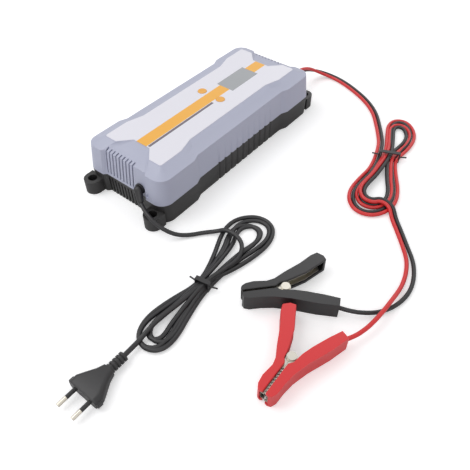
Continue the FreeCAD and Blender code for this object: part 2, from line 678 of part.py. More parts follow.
# the middle line of the output pair, and how far the red lead is rolled above the black one
outputRoute = [
    ((161.0, -24.0, 34.0), 90), ((174.0, -24.0, 32.6), 80), ((188.0, -23.0, 28.8), 60),
    ((202.0, -22.2, 22.6), 40), ((215.5, -22.8, 15.2), 20), ((227.5, -28.0, 8.4), 0),
    ((235.0, -39.0, 3.8), 0), ((236.2, -53.0, 2.2), 0), ((232.0, -70.0, 2.2), 0),
    ((225.0, -88.0, 2.2), 0), ((216.0, -107.0, 2.2), 0), ((204.5, -125.0, 2.2), 0),
    ((190.0, -141.0, 2.2), 0), ((172.0, -154.5, 2.2), 0), ((152.0, -168.5, 2.2), 0),
    ((130.0, -181.5, 2.2), 0),
]
pairTailRoute = [((22.0, -254.0, 2.2), 0), ((8.0, -267.5, 2.2), 0), ((-8.0, -282.0, 2.2), 0)]
redTailRoute = [
    (-25.0, -293.0, 2.2), (-41.0, -300.0, 2.2), (-57.0, -303.8, 2.4), (-72.0, -305.0, 5.2),
    (-86.0, -305.4, 9.6), (-101.0, -305.2, 10.8), (-116.0, -304.2, 10.6), (-131.0, -301.8, 9.8),
]
blackTailRoute = [
    (-22.0, -298.5, 2.2), (-37.0, -307.0, 2.2), (-53.0, -312.5, 2.2), (-69.0, -313.5, 2.2),
    (-84.5, -310.5, 2.2), (-98.5, -304.0, 2.6), (-111.5, -294.5, 5.4),
]


def side_by_side(route, hand):
    """One lead of the pair: hand is 1 for the red lead, on the right of the way out, and -1."""
    beside = []
    for at, (spot, roll) in enumerate(route):
        before = route[max(at - 1, 0)][0]
        after = route[min(at + 1, len(route) - 1)][0]
        run = FreeCAD.Vector(after[0] - before[0], after[1] - before[1], 0).normalize()
        right = FreeCAD.Vector(run.y, -run.x, 0)
        turn = math.radians(roll)
        shift = (right * math.cos(turn) + up * math.sin(turn)) * (hand * number("outputApart") / 2)
        beside.append(tuple(FreeCAD.Vector(*spot) + shift))
    return beside


def tube(label, route, radius):
    """A plain tube. Each arc's radius is 0.45 of its shorter run over the tangent of half the turn."""
    points = [FreeCAD.Vector(*point) for point in route]
    edges = []
    radii = []
    last = points[0]
    for before, corner, after in zip(points, points[1:], points[2:]):
        way_in = (corner - before).normalize()
        way_out = (after - corner).normalize()
        turn = way_in.getAngle(way_out)
        reach = 0.45 * min((corner - before).Length, (after - corner).Length)
        start = corner - way_in * reach
        stop = corner + way_out * reach
        arc_radius = reach / math.tan(turn / 2)
        bisector = (way_out - way_in).normalize()
        middle = corner + bisector * (arc_radius / math.cos(turn / 2) - arc_radius)
        edges.append(Part.LineSegment(last, start).toShape())
        edges.append(Part.Arc(start, middle, stop).toShape())
        radii.append(round(arc_radius, 1))
        last = stop
    edges.append(Part.LineSegment(last, points[-1]).toShape())
    path = Part.Wire(edges)
    section = Part.Wire([Part.makeCircle(radius, points[0], points[1] - points[0])])
    solid = Part.Wire(path.Edges).makePipeShell([section], True, False, 1)
    expected = math.pi * radius ** 2 * path.Length
    print(f"{label}: {path.Length:.0f} mm, radii {radii}, volume {solid.Volume / expected:.3f} of section x length")
    if abs(solid.Volume / expected - 1) > 0.02:
        raise RuntimeError(label + ": the tube's volume is wrong")
    return shaped(label, solid)


def hank(label, points, high, tie_at, tie_along, tie_wide):
    """The outer shape of a tied hank, let up off the floor where the tie passes under it."""
    body = new_body(label)
    pad(body, outline(sketch(body), points), high)
    across = FreeCAD.Vector(-tie_along[1], tie_along[0], 0)
    along = FreeCAD.Vector(tie_along[0], tie_along[1], 0)
    middle = FreeCAD.Vector(tie_at[0], tie_at[1], 0)
    strip = [middle + along * (a * tie_wide) + across * (b * 12.0)
             for a, b in ((-0.7, -1), (0.7, -1), (0.7, 1), (-0.7, 1))]
    pocket(body, outline(sketch(body), [(p.x, p.y) for p in strip]), "1.6", back=True)
    return body


def tie(label, tie_at, tie_along, half_across, high, wide):
    """A closed strap round the hank's waist with two twisted ends."""
    turn = FreeCAD.Rotation(up, math.degrees(math.atan2(tie_along[1], tie_along[0])))
    thick = 1.2
    outer = Part.makeBox(wide, 2 * (half_across + thick), high + thick, FreeCAD.Vector(-wide / 2, -half_across - thick, 0))
    inner = Part.makeBox(wide + 2, 2 * half_across, high - thick, FreeCAD.Vector(-wide / 2 - 1, -half_across, thick))
    ends = [Part.makeCylinder(0.9, 9, FreeCAD.Vector(0, side * (half_across + thick - 0.4), high * 0.6),
                              FreeCAD.Vector(0.25, side, -0.1)) for side in (1, -1)]
    strap = outer.cut(inner).fuse(ends)
    made = shaped(label, strap)
    made.Placement = FreeCAD.Placement(FreeCAD.Vector(tie_at[0], tie_at[1], 0), turn)
    return made


def leads():
    tube("mains_cord_lead", mainsRoute, number("mainsRound"))
    tube("mains_cord_tail", mainsTailRoute, number("mainsRound"))
    mains_hank = [(-119.3, -117.9), (-115.7, -111.2 - 0.4), (-97, -111), (-80, -118), (-67, -134),
                  (-66, -150), (-77, -164), (-99, -171), (-128, -168), (-155, -162), (-184.6, -154.4),
                  (-214, -162), (-244, -172), (-264, -172), (-275, -163), (-274, -152), (-268, -149),
                  (-268, -140), (-262, -133), (-245, -127), (-215, -132), (-182.6, -142.6),
                  (-152, -131)]
    mains_hank[0:2] = facet(mainsRoute, 4.5)
    hank("mains_cord_hank", mains_hank, "12", (-183.6, -148.5), (0.985, 0.17), 5.0)
    tie("mains_cord_tie", (-183.6, -148.5), (0.985, 0.17), 6.6, 12.3, 5.0)

    tube("dc_red_lead", side_by_side(outputRoute, 1), number("outputRound"))
    tube("dc_black_lead", side_by_side(outputRoute, -1), number("outputRound"))
    dc_hank = facet([spot for spot, _ in outputRoute], 5.6)[::-1]
    dc_hank += [(112, -189), (90, -190), (58, -188), (32, -189), (13, -197), (2, -209), (-1, -224),
                (3, -240)]
    dc_hank += facet([spot for spot, _ in pairTailRoute[::-1]], 5.6)[::-1]
    dc_hank += [(40, -254), (58, -247), (82, -233), (101, -223), (121, -213), (147, -217),
                (174, -213), (195, -200), (204, -181), (200, -167), (184, -163), (154, -176)]
    hank("dc_cord_hank", dc_hank, "12", (113, -201), (0.91, 0.41), 5.0)
    tie("dc_cord_tie", (113, -201), (0.91, 0.41), 11.6, 12.3, 5.0)

    for prefix, hand, tail in (("dc_red", 1, redTailRoute), ("dc_black", -1, blackTailRoute)):
        clamp_name = prefix.split("_")[1]
        end = clampSpot(clamp_name, *crimpFace)
        mouth = clampSpot(clamp_name, *clampMouth)
        route = side_by_side(pairTailRoute, hand) + tail + [mouth, end]
        tube(prefix + "_tail", route, number("outputRound"))


def facet(route, half):
    """The hank's short flat where a lead meets it square on, at the last point of the lead's route."""
    last = FreeCAD.Vector(*route[-1])
    run = last - FreeCAD.Vector(*route[-2])
    across = FreeCAD.Vector(-run.y, run.x, 0).normalize() * half
    return [((last + across).x, (last + across).y), ((last - across).x, (last - across).y)]


# ---- strain reliefs and the plug ----

def strain_reliefs():
    out = "(caseHalfLong - dent - (leadUp - partingUp) * endDraft / (shoulderUp - partingUp))"
    face = number(out)
    side = number("leadSide")
    high = number("leadUp")
    for label, way in (("mains_strain_relief", -1), ("dc_strain_relief", 1)):
        along = FreeCAD.Vector(way, 0, 0)
        seat = FreeCAD.Vector(way * (face + number("fitGap")), side, high)
        flange = Part.makeCylinder(number("glandFlange"), 2.2, seat, along)
        neck_long = number("wall") + 3 * number("fitGap")
        neck = Part.makeCylinder(number("glandNeck"), neck_long, seat, -along)
        lock = Part.makeCylinder(number("glandFlange"), 1.8, seat - along * neck_long, -along)
        if way < 0:
            knuckle = seat + along * 3.6
            tip = FreeCAD.Vector(*mainsRoute[0])
            ball = Part.makeSphere(5.2, knuckle)
            sleeve = Part.makeCone(5.0, 3.5, (tip - knuckle).Length, knuckle, tip - knuckle)
            solid = flange.fuse([neck, lock, ball, sleeve])
        else:
            boss = Part.makeCone(number("glandFlange") - 0.6, 5.0, 161.0 - seat.x, seat, along)
            solid = flange.fuse([neck, lock, boss])
            for lift in (1, -1):
                spot = FreeCAD.Vector(161.0, side, high + lift * number("outputApart") / 2)
                stub = Part.makeCone(3.4, 2.9, 6, spot - along * 6, along)
                solid = solid.fuse(stub)
        shaped(label, solid.removeSplitter())


def plug():
    body = new_body("plug_body")
    levels = []
    for back, half_wide, half_high, corner in (("0", "16.6", "6.2", "4"), ("1.5", "17.4", "6.9", "5"),
                                               ("8", "17.2", "6.9", "5"), ("15", "13.2", "6.9", "5"),
                                               ("23", "8.4", "6.4", "4.5"), ("30", "6.0", "5.6", "4")):
        flat = sketch(body, "YZ_Plane", f"plugFace + {back}")
        rounded_box(flat, f"(plugSide - {half_wide})", f"(plugSide + {half_wide})",
                    f"(plugUp - {half_high})", f"(plugUp + {half_high})", corner)
        levels.append(flat)
    loft(body, levels)
    flat = sketch(body, "YZ_Plane", "plugFace + 1")
    rounded_box(flat, "(plugSide - 18.8)", "(plugSide + 18.8)", "(plugUp - 3.2)", "(plugUp + 3.2)", "1.5")
    pad(body, flat, "5")
    body_end = "plugFace + 30"
    flat = circle(sketch(body, "YZ_Plane", body_end), "plugSide", "plugUp", "3.7")
    pad(body, flat, "18")
    flat = circle(sketch(body, "YZ_Plane", body_end), "plugSide", "plugUp", "5.0")
    rib = pad(body, flat, "2.2")
    row_of(body, rib, "X_Axis", "5", "3.8")
    flat = sketch(body, "YZ_Plane", "plugFace")
    for hand in (1, -1):
        circle(flat, f"plugSide + {hand} * pinHalfApart", "plugUp", "pinCore + sleeveFit")
    pocket(body, flat, "pinBuried + fitGap", back=True)

    pins = []
    sleeves = []
    for hand in (1, -1):
        spot = ("plugFace - pinLong", f"plugSide + {hand} * pinHalfApart", "plugUp")
        pin = primitive("Part::Cylinder", "plugPin", spot, Radius="pinCore", Height="pinLong + pinBuried")
        tip = primitive("Part::Cylinder", "plugPinTip", spot, Radius="pinRound",
                        Height="pinLong - sleeveLong")
        sleeve = primitive("Part::Cylinder", "pinSleeve", ("plugFace - sleeveLong", spot[1], spot[2]),
                           Radius="sleeveRound", Height="sleeveLong")
        bore = primitive("Part::Cylinder", "pinSleeveBore", ("plugFace - sleeveLong - 1", spot[1], spot[2]),
                         Radius="pinCore + sleeveFit", Height="sleeveLong + 2")
        for made in (pin, tip, sleeve, bore):
            made.Placement.Rotation = FreeCAD.Rotation(up, FreeCAD.Vector(1, 0, 0))
        pins.append(fused("plugPinSolid", [pin, tip]))
        sleeves.append(cut("pinSleeveSolid", sleeve, bore))
    group("plug_pins", pins)
    group("plug_pin_sleeves", sleeves)


# ---- clamps, lying on their sides: +x of a clamp's own frame is its jaw, -y its lever ----

clampPlaces = {"black": (-141.6, -218.8, 137.1), "red": (-200.5, -266.0, -178.7)}
clampMouth = (-53.8, 32.15, 9.5)
crimpFace = (-42.2, 24.4, 9.5)
crimpEnd = (-33.0, 18.26, 9.5)


def clampSpot(name, x, y, z):
    px, py, heading = clampPlaces[name]
    turn = FreeCAD.Rotation(up, heading)
    return tuple(turn.multVec(FreeCAD.Vector(x, y, z)) + FreeCAD.Vector(px, py, 0))


def clamp_body(name, part):
    body = new_body(f"{name}_clamp_{part}")
    px, py, heading = clampPlaces[name]
    body.Placement = FreeCAD.Placement(FreeCAD.Vector(px, py, 0), FreeCAD.Rotation(up, heading))
    return body


fixedOuter = [(-44.5, 31.2), (-25, 25.2), (-2, 16), (14, 11.4), (26, 9.9), (37.5, 9.6), (42.2, 7.6), (43.5, 4)]
leverOuter = [(-46.2, -31.5), (-40.5, -36.8), (-33, -34), (-20, -25.8), (-1, -16.6), (9, -10.8), (17, -9),
              (30, -10.4), (38, -9.2), (42.2, -6.8), (43.5, -4)]


def moulded_arm(name, part, outer, inner, low, high, hollow):
    """A plastic grip: its outline padded, and a channel open towards the other arm."""
    body = clamp_body(name, part)
    pad(body, outline(sketch(body, level=low), outer + inner), f"{high} - ({low})")
    pocket(body, outline(sketch(body, level=f"{low} + clampWall"), hollow), f"{high} - ({low}) - 2 * clampWall",
           back=True)
    return body


def metal_arm(name, part, web, inner, low, high, hand):
    """The stamped jaw: two side plates with lugs for the rivet, a web, and teeth at the mouth."""
    body = clamp_body(name, part)
    pad(body, outline(sketch(body, level=low), web + inner), f"{high} - ({low})")
    pad(body, circle(sketch(body, level=low), "0", "0", "lugRound"), f"{high} - ({low})")
    cavity = [(x, y - hand * 1.2) for x, y in web]
    cavity[0] = (cavity[0][0] - 2, cavity[0][1])
    cavity[-1] = (cavity[-1][0] + 3, cavity[-1][1])
    cavity += [(45, -6 * hand), (-8, -6 * hand), (-22, 3 * hand), (-46, 14 * hand)]
    pocket(body, outline(sketch(body, level=f"{low} + metalThick"), cavity), f"{high} - ({low}) - 2 * metalThick",
           back=True)
    pocket(body, circle(sketch(body, level=low), "0", "0", "rivetRound + rivetRunning"), f"{high} - ({low})",
           back=True)
    flat = sketch(body, level=low)
    start = 13.0
    while start < 39:
        outline(flat, [(start, f"{hand} * metalGap - {hand} * 0.5"), (start + 2.2, f"{hand} * metalGap - {hand} * 0.5"),
                       (start + 1.1, f"{hand} * (metalGap + toothDeep)")])
        start += 3.2
    pocket(body, flat, f"{high} - ({low})", back=True)
    return body


def clamp(name):
    fixed_inner = [(42.6, 1.5), (9, 1.5), (5, 4.6), (-1, 5.5), (-6.5, 6.4), (-18, 10), (-35, 16.8), (-47.7, 22.8)]
    fixed_hollow = [(-42.2, 28), (-25, 22.4), (-2, 13.3), (14, 8.7), (26, 7.3), (37, 7.0), (41, 5.3), (46, 3.4),
                    (46, -4), (-6, -4), (-20, 4), (-45, 16), (-45.2, 21.6)]
    body = moulded_arm(name, "fixed_grip", [(x, y) for x, y in fixedOuter], fixed_inner, "0",
                       "clampThick", fixed_hollow)
    slot = [(-50.5, 27.0), (-37.5, 18.3), (-34.4, 22.9), (-47.4, 31.6)]
    pocket(body, outline(sketch(body, level="7.0"), slot), "5", back=True)

    lever_inner = [(42.6, -1.5), (9, -1.5), (5, -4.6), (-1, -5.5), (-6.5, -7), (-24, -12.8), (-47.6, -25.8)]
    lever_hollow = [(-44.0, -30.4), (-40, -33.9), (-33.6, -31.4), (-21, -23.3), (-1.6, -13.9), (8.3, -8.2),
                    (16.6, -6.4), (30, -7.8), (37.4, -6.7), (41, -4.8), (46, -3.2), (46, 4), (-6, 4),
                    (-24, -6), (-44, -18), (-44.6, -27)]
    moulded_arm(name, "lever_grip", leverOuter, lever_inner, "leverInset", "clampThick - leverInset",
                lever_hollow)

    fixed_web = [(-38, 26.2), (-25, 22.0), (-2, 12.9), (14, 8.3), (26, 6.9), (36.8, 6.6), (40.6, 5.0), (42, 4.4)]
    fixed_edge = [(42, "metalGap"), (4, "metalGap"), (-4.4, 7.2), (-18, 11.4), (-38, 19.6)]
    metal_arm(name, "fixed_jaw", fixed_web, fixed_edge, "clampWall + metalGap",
              "clampThick - clampWall - metalGap", 1)
    lever_web = [(-38, -32.2), (-33.4, -30.9), (-20.8, -22.9), (-1.5, -13.5), (8.4, -7.8), (16.6, -6.0),
                 (30, -7.4), (37.2, -6.3), (42, -4.0)]
    lever_edge = [(42, "-metalGap"), (4, "-metalGap"), (-4.4, -8), (-24, -14.6), (-40, -23.6), (-41, -28)]
    metal_arm(name, "lever_jaw", lever_web, lever_edge, "clampWall + 2 * metalGap + metalThick",
              "clampThick - clampWall - 2 * metalGap - metalThick", -1)

    body = clamp_body(name, "rivet")
    pad(body, circle(sketch(body, level="clampWall - 0.1"), "0", "0", "rivetRound"),
        "clampThick - 2 * clampWall + 0.2")
    for low, back in (("clampWall + metalGap - 0.06", True), ("clampThick - clampWall - metalGap + 0.06", False)):
        pad(body, circle(sketch(body, level=low), "0", "0", "rivetHead"), "1.9", back=back)

    coil_radius = 3.7
    wire = 0.6
    turns = 3.5
    pitch = 1.7
    helix = Part.makeHelix(pitch, pitch * turns, coil_radius)
    section = Part.Wire([Part.makeCircle(wire, FreeCAD.Vector(coil_radius, 0, 0), FreeCAD.Vector(0, 1, 0.07))])
    coil = Part.Wire(helix.Edges).makePipeShell([section], True, True)
    spring = shaped(f"{name}_clamp_spring", coil)
    px, py, heading = clampPlaces[name]
    middle = number("clampThick") / 2 - pitch * turns / 2
    spring.Placement = FreeCAD.Placement(FreeCAD.Vector(px, py, middle), FreeCAD.Rotation(up, heading + 90))

    face = FreeCAD.Vector(*clampSpot(name, *crimpFace))
    end = FreeCAD.Vector(*clampSpot(name, *crimpEnd))
    shaped(f"{name}_clamp_crimp", Part.makeCylinder(2.9, (end - face).Length, face, end - face))


def finish():
    doc.recompute()
    for item in doc.Objects:
        if "Invalid" in item.State or "Error" in item.State:
            raise RuntimeError(f"{item.Name} failed: {item.State}")
    os.makedirs("parts", exist_ok=True)
    for item in parts:
        shape = item.Shape
        if shape.isNull() or not shape.isValid() or not shape.Solids:
            raise RuntimeError(item.Label + ": no valid solid")
        shape.exportStep(f"parts/{item.Label}.step")
        print(f"{item.Label}: {len(shape.Solids)} solid(s), {shape.Volume:.0f} mm3")


upper_shell()
lower_shell()
top_pieces()
board_pieces()
power_parts()
fan()
strain_reliefs()
plug()
for colour in clampPlaces:
    clamp(colour)
leads()
finish()
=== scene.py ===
import json
import math
import bmesh
import bpy
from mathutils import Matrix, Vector


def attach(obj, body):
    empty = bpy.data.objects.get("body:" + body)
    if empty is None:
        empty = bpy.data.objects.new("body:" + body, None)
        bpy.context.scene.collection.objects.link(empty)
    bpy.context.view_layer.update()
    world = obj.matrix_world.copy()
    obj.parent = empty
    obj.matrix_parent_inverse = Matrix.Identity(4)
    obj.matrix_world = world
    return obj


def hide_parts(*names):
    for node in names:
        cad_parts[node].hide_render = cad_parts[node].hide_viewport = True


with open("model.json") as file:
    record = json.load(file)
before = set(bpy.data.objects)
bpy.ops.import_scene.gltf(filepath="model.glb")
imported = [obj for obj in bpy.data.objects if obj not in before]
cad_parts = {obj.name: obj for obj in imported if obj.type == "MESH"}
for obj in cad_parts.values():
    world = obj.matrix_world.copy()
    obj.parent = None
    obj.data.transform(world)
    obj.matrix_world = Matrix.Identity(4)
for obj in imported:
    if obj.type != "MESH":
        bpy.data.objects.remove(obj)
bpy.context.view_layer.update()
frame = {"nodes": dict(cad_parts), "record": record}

nodeSlot = {part["node"]: part["material_slot"] for part in frame["record"]["subparts"]}
nodeBody = {node: body for body, nodes in frame["record"]["behaviour"]["bodies"].items() for node in nodes}
print("frame loaded:", len(nodeSlot), "nodes")


def linear(hexColour):
    parts = [int(hexColour[at:at + 2], 16) / 255 for at in (1, 3, 5)]
    return [part / 12.92 if part <= 0.04045 else ((part + 0.055) / 1.055) ** 2.4 for part in parts] + [1.0]


def addNode(tree, kind, settings=None, inputs=None):  # a node with its settings, and its values or links
    node = tree.nodes.new(kind)
    for name, value in (settings or {}).items():
        setattr(node, name, value)
    for name, value in (inputs or {}).items():
        socket = node.inputs[name]
        if isinstance(value, bpy.types.NodeSocket):
            tree.links.new(value, socket)
        else:
            socket.default_value = value
    return node


def newMaterial(name, shader):
    material = bpy.data.materials.new(name)
    material.use_nodes = True
    tree = material.node_tree
    principled = tree.nodes["Principled BSDF"]
    for key, value in shader.items():
        principled.inputs[key].default_value = value
    where = addNode(tree, "ShaderNodeTexCoord").outputs["Object"]
    return material, tree, principled, where


plasticLook = {"broadScale": 18.0, "smoother": 0.06, "rougher": 0.08, "spread": 0.06, "bumpHeight": 0.0002}


# moulded plastic: the colour and the roughness wander a little, and the surface is finely pebbled
def mouldedPlastic(name, colour, roughness, grain=0.0009, depth=0.15, ior=1.53):
    material, tree, principled, where = newMaterial(name, {"Roughness": roughness, "IOR": ior})
    broad = addNode(tree, "ShaderNodeTexNoise", None,
                    {"Vector": where, "Scale": plasticLook["broadScale"], "Detail": 3.0})
    dark = [part * (1 - plasticLook["spread"]) for part in linear(colour)[:3]] + [1.0]
    blend = addNode(tree, "ShaderNodeMix", {"data_type": "RGBA"},
                    {0: broad.outputs["Fac"], 6: linear(colour), 7: dark})
    tree.links.new(blend.outputs[2], principled.inputs["Base Color"])
    pebble = addNode(tree, "ShaderNodeTexNoise", None, {"Vector": where, "Scale": 1 / grain, "Detail": 2.0})
    spreadRough = addNode(tree, "ShaderNodeMapRange", None,
                          {"Value": pebble.outputs["Fac"], "To Min": roughness - plasticLook["smoother"],
                           "To Max": roughness + plasticLook["rougher"]})
    tree.links.new(spreadRough.outputs["Result"], principled.inputs["Roughness"])
    bump = addNode(tree, "ShaderNodeBump", None, {"Height": pebble.outputs["Fac"], "Strength": depth,
                                                  "Distance": plasticLook["bumpHeight"]})
    tree.links.new(bump.outputs["Normal"], principled.inputs["Normal"])
    return material


metalLook = {"scratch": 0.0006, "stretch": (1.0, 8.0, 8.0), "smoother": 0.08, "rougher": 0.12, "depth": 0.08}


# drawn or plated metal: fine scratches run one way, so highlights are drawn out
def workedMetal(name, colour, roughness):
    material, tree, principled, where = newMaterial(name, {"Metallic": 1.0, "Base Color": linear(colour)})
    turned = addNode(tree, "ShaderNodeMapping", None, {"Vector": where, "Scale": metalLook["stretch"]})
    lines = addNode(tree, "ShaderNodeTexNoise", None,
                    {"Vector": turned.outputs["Vector"], "Scale": 0.1 / metalLook["scratch"], "Detail": 4.0})
    rough = addNode(tree, "ShaderNodeMapRange", None,
                    {"Value": lines.outputs["Fac"], "To Min": roughness - metalLook["smoother"],
                     "To Max": roughness + metalLook["rougher"]})
    tree.links.new(rough.outputs["Result"], principled.inputs["Roughness"])
    bump = addNode(tree, "ShaderNodeBump", None,
                   {"Height": lines.outputs["Fac"], "Strength": metalLook["depth"], "Distance": 0.0001})
    tree.links.new(bump.outputs["Normal"], principled.inputs["Normal"])
    return material


def between(tree, value, low, high):
    above = addNode(tree, "ShaderNodeMath", {"operation": "GREATER_THAN"}, {0: value, 1: low})
    below = addNode(tree, "ShaderNodeMath", {"operation": "LESS_THAN"}, {0: value, 1: high})
    both = addNode(tree, "ShaderNodeMath", {"operation": "MULTIPLY"},
                   {0: above.outputs[0], 1: below.outputs[0]})
    return both.outputs[0]


labelPrint = {
    "film": "#E8E7F0", "stripe": "#F5B445", "line": "#6E6670", "stripeLow": -0.0075, "stripeHigh": 0.0080,
    "lineLow": -0.0115, "lineHigh": -0.0082, "lineFrom": -0.109, "lineTo": 0.0, "grainScale": 1500.0,
}


# printed polycarbonate film: satin, with a plain orange stripe and a thin grey line
def printedFilm():
    material, tree, principled, where = newMaterial("printedPolycarbonate", {"Roughness": 0.38, "IOR": 1.58})
    axes = addNode(tree, "ShaderNodeSeparateXYZ", None, {"Vector": where})
    stripe = between(tree, axes.outputs["Y"], labelPrint["stripeLow"], labelPrint["stripeHigh"])
    across = between(tree, axes.outputs["Y"], labelPrint["lineLow"], labelPrint["lineHigh"])
    along = between(tree, axes.outputs["X"], labelPrint["lineFrom"], labelPrint["lineTo"])
    line = addNode(tree, "ShaderNodeMath", {"operation": "MULTIPLY"}, {0: across, 1: along}).outputs[0]
    first = addNode(tree, "ShaderNodeMix", {"data_type": "RGBA"},
                    {0: stripe, 6: linear(labelPrint["film"]), 7: linear(labelPrint["stripe"])})
    second = addNode(tree, "ShaderNodeMix", {"data_type": "RGBA"},
                     {0: line, 6: first.outputs[2], 7: linear(labelPrint["line"])})
    tree.links.new(second.outputs[2], principled.inputs["Base Color"])
    grain = addNode(tree, "ShaderNodeTexNoise", None, {"Vector": where, "Scale": labelPrint["grainScale"]})
    bump = addNode(tree, "ShaderNodeBump", None,
                   {"Height": grain.outputs["Fac"], "Strength": 0.05, "Distance": 0.0001})
    tree.links.new(bump.outputs["Normal"], principled.inputs["Normal"])
    return material


materials = {
    "case_grey": mouldedPlastic("mouldedAbsGreyBlue", "#B4B7CB", 0.42),
    "base_black": mouldedPlastic("mouldedAbsBlack", "#2A2929", 0.48),
    "label_print": printedFilm(),
    "lcd_glass": mouldedPlastic("displayWindow", "#A9ACB0", 0.16, 0.002, 0.02),
    "key_orange": mouldedPlastic("keyCapOrange", "#F2B04C", 0.35),
    "circuit_board": mouldedPlastic("solderMaskGreen", "#1E5A34", 0.35),
    "lcd_frame": mouldedPlastic("displayFrameGrey", "#8C8E90", 0.5),
    "steel": workedMetal("zincPlatedSteel", "#C8C8C6", 0.35),
    "ferrite": mouldedPlastic("sinteredFerrite", "#3A3A3C", 0.6),
    "winding": mouldedPlastic("windingTapeYellow", "#C9A227", 0.4),
    "capacitor": mouldedPlastic("capacitorSleeve", "#22263A", 0.3),
    "fuse_glass": mouldedPlastic("fuseGlass", "#C8D0D0", 0.1),
    "component_black": mouldedPlastic("mouldingCompound", "#2A2A2B", 0.55),
    "heat_sink": workedMetal("extrudedAluminium", "#D0D2D4", 0.38),
    "terminal_green": mouldedPlastic("terminalGreen", "#2F7A4C", 0.45),
    "cord_black": mouldedPlastic("softPvcBlack", "#1F1E20", 0.40, 0.0012, 0.1, 1.52),
    "tie_black": mouldedPlastic("tieBlack", "#1C1B1D", 0.45),
    "cord_red": mouldedPlastic("softPvcRed", "#DB2E30", 0.38, 0.0012, 0.1, 1.52),
    "pin_nickel": workedMetal("nickelPlatedBrass", "#D2CCC0", 0.22),
    "grip_black": mouldedPlastic("gripPlasticBlack", "#201F21", 0.36),
    "grip_red": mouldedPlastic("gripPlasticRed", "#DE3034", 0.36),
    "jaw_steel": workedMetal("platedPressedSteel", "#C4C0B6", 0.3),
    "crimp_brass": workedMetal("crimpedBrass", "#C9A45C", 0.3),
}
for nodeName, nodeObject in frame["nodes"].items():
    nodeObject.data.materials.clear()
    nodeObject.data.materials.append(materials[nodeSlot[nodeName]])
print("materials made:", len(materials))


edgeWork = {"merge": 0.00001, "flat": 1.0, "segments": 3, "sharp": 25.0}  # metres and degrees


# moulded pieces: the CAD mesh merged, its flat faces joined and its edges rounded
def moulded(nodeName, width):
    source = frame["nodes"][nodeName]
    shell = bmesh.new()
    shell.from_mesh(source.data)
    bmesh.ops.remove_doubles(shell, verts=shell.verts, dist=edgeWork["merge"])
    bmesh.ops.dissolve_limit(shell, angle_limit=math.radians(edgeWork["flat"]),
                             verts=shell.verts, edges=shell.edges)
    mesh = bpy.data.meshes.new(nodeName + "Moulded")
    shell.to_mesh(mesh)
    shell.free()
    mesh.materials.append(materials[nodeSlot[nodeName]])
    piece = bpy.data.objects.new(nodeName + "Moulded", mesh)
    bpy.context.scene.collection.objects.link(piece)
    rounding = piece.modifiers.new("roundedEdges", "BEVEL")
    rounding.width = width
    rounding.segments = edgeWork["segments"]
    rounding.limit_method = "ANGLE"
    rounding.angle_limit = math.radians(edgeWork["sharp"])
    rounding.use_clamp_overlap = True
    rounding.harden_normals = False
    for polygon in mesh.polygons:
        polygon.use_smooth = True
    mesh.set_sharp_from_angle(angle=math.radians(edgeWork["sharp"]))
    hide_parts(nodeName)
    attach(piece, nodeBody[nodeName])
    return piece


roundings = {"upper_shell": 0.0009, "lower_shell": 0.0007, "plug_body": 0.0008}
for colour in ("black", "red"):
    roundings[f"{colour}_clamp_fixed_grip"] = 0.0010
    roundings[f"{colour}_clamp_lever_grip"] = 0.0010
shown = dict(frame["nodes"])  # what stands for each node in the picture
for nodeName, width in roundings.items():
    shown[nodeName] = moulded(nodeName, width)
print("moulded pieces rounded")


# leads: the same points as the tubes, in metres, and the turns of each hank between them
mainsCord = {
    "diameter": 0.0048, "turns": 4, "tieUp": 0.0028, "tieRise": 0.0023, "tieApart": 0.0048,
    "tieCloser": 0.0012, "tieLast": 0.0092, "low": 0.0027,
    "lead": [(-0.1518, -0.0327, 0.025), (-0.1553, -0.0405, 0.0236), (-0.159, -0.0505, 0.0224),
             (-0.1602, -0.062, 0.0186), (-0.157, -0.073, 0.0118), (-0.150, -0.083, 0.0054),
             (-0.1395, -0.092, 0.0024), (-0.1275, -0.101, 0.0024), (-0.1175, -0.112, 0.0034),
             (-0.113, -0.121, 0.0088), (-0.113, -0.137, 0.0092), (-0.120, -0.150, 0.0088),
             (-0.136, -0.157, 0.0072), (-0.158, -0.1535, 0.0080)],
    "left": [(-0.216, -0.160), (-0.245, -0.1685), (-0.263, -0.166), (-0.2705, -0.152), (-0.264, -0.1375),
             (-0.245, -0.1305), (-0.216, -0.1345)],
    "right": [(-0.150, -0.1335), (-0.114, -0.1165), (-0.091, -0.1155), (-0.0735, -0.129), (-0.0695, -0.146),
              (-0.077, -0.160), (-0.096, -0.1675), (-0.122, -0.1655), (-0.152, -0.158)],
    "leftMiddle": (-0.246, -0.150), "rightMiddle": (-0.104, -0.1415), "tie": (-0.1836, -0.1485),
    "leftShares": (0.0, 0.20, 0.34, 0.55), "rightShares": (0.0, 0.26, 0.40, 0.52),
    "swing": ((0.0, 0.0), (0.004, 0.0015), (-0.003, -0.002), (0.002, 0.001)),
    "tail": [(-0.213, -0.1465, 0.0070), (-0.240, -0.1440, 0.0085), (-0.255, -0.1440, 0.0075),
             (-0.268, -0.1445, 0.005), (-0.2775, -0.1452, 0.006), (-0.287, -0.146, 0.007)],
}
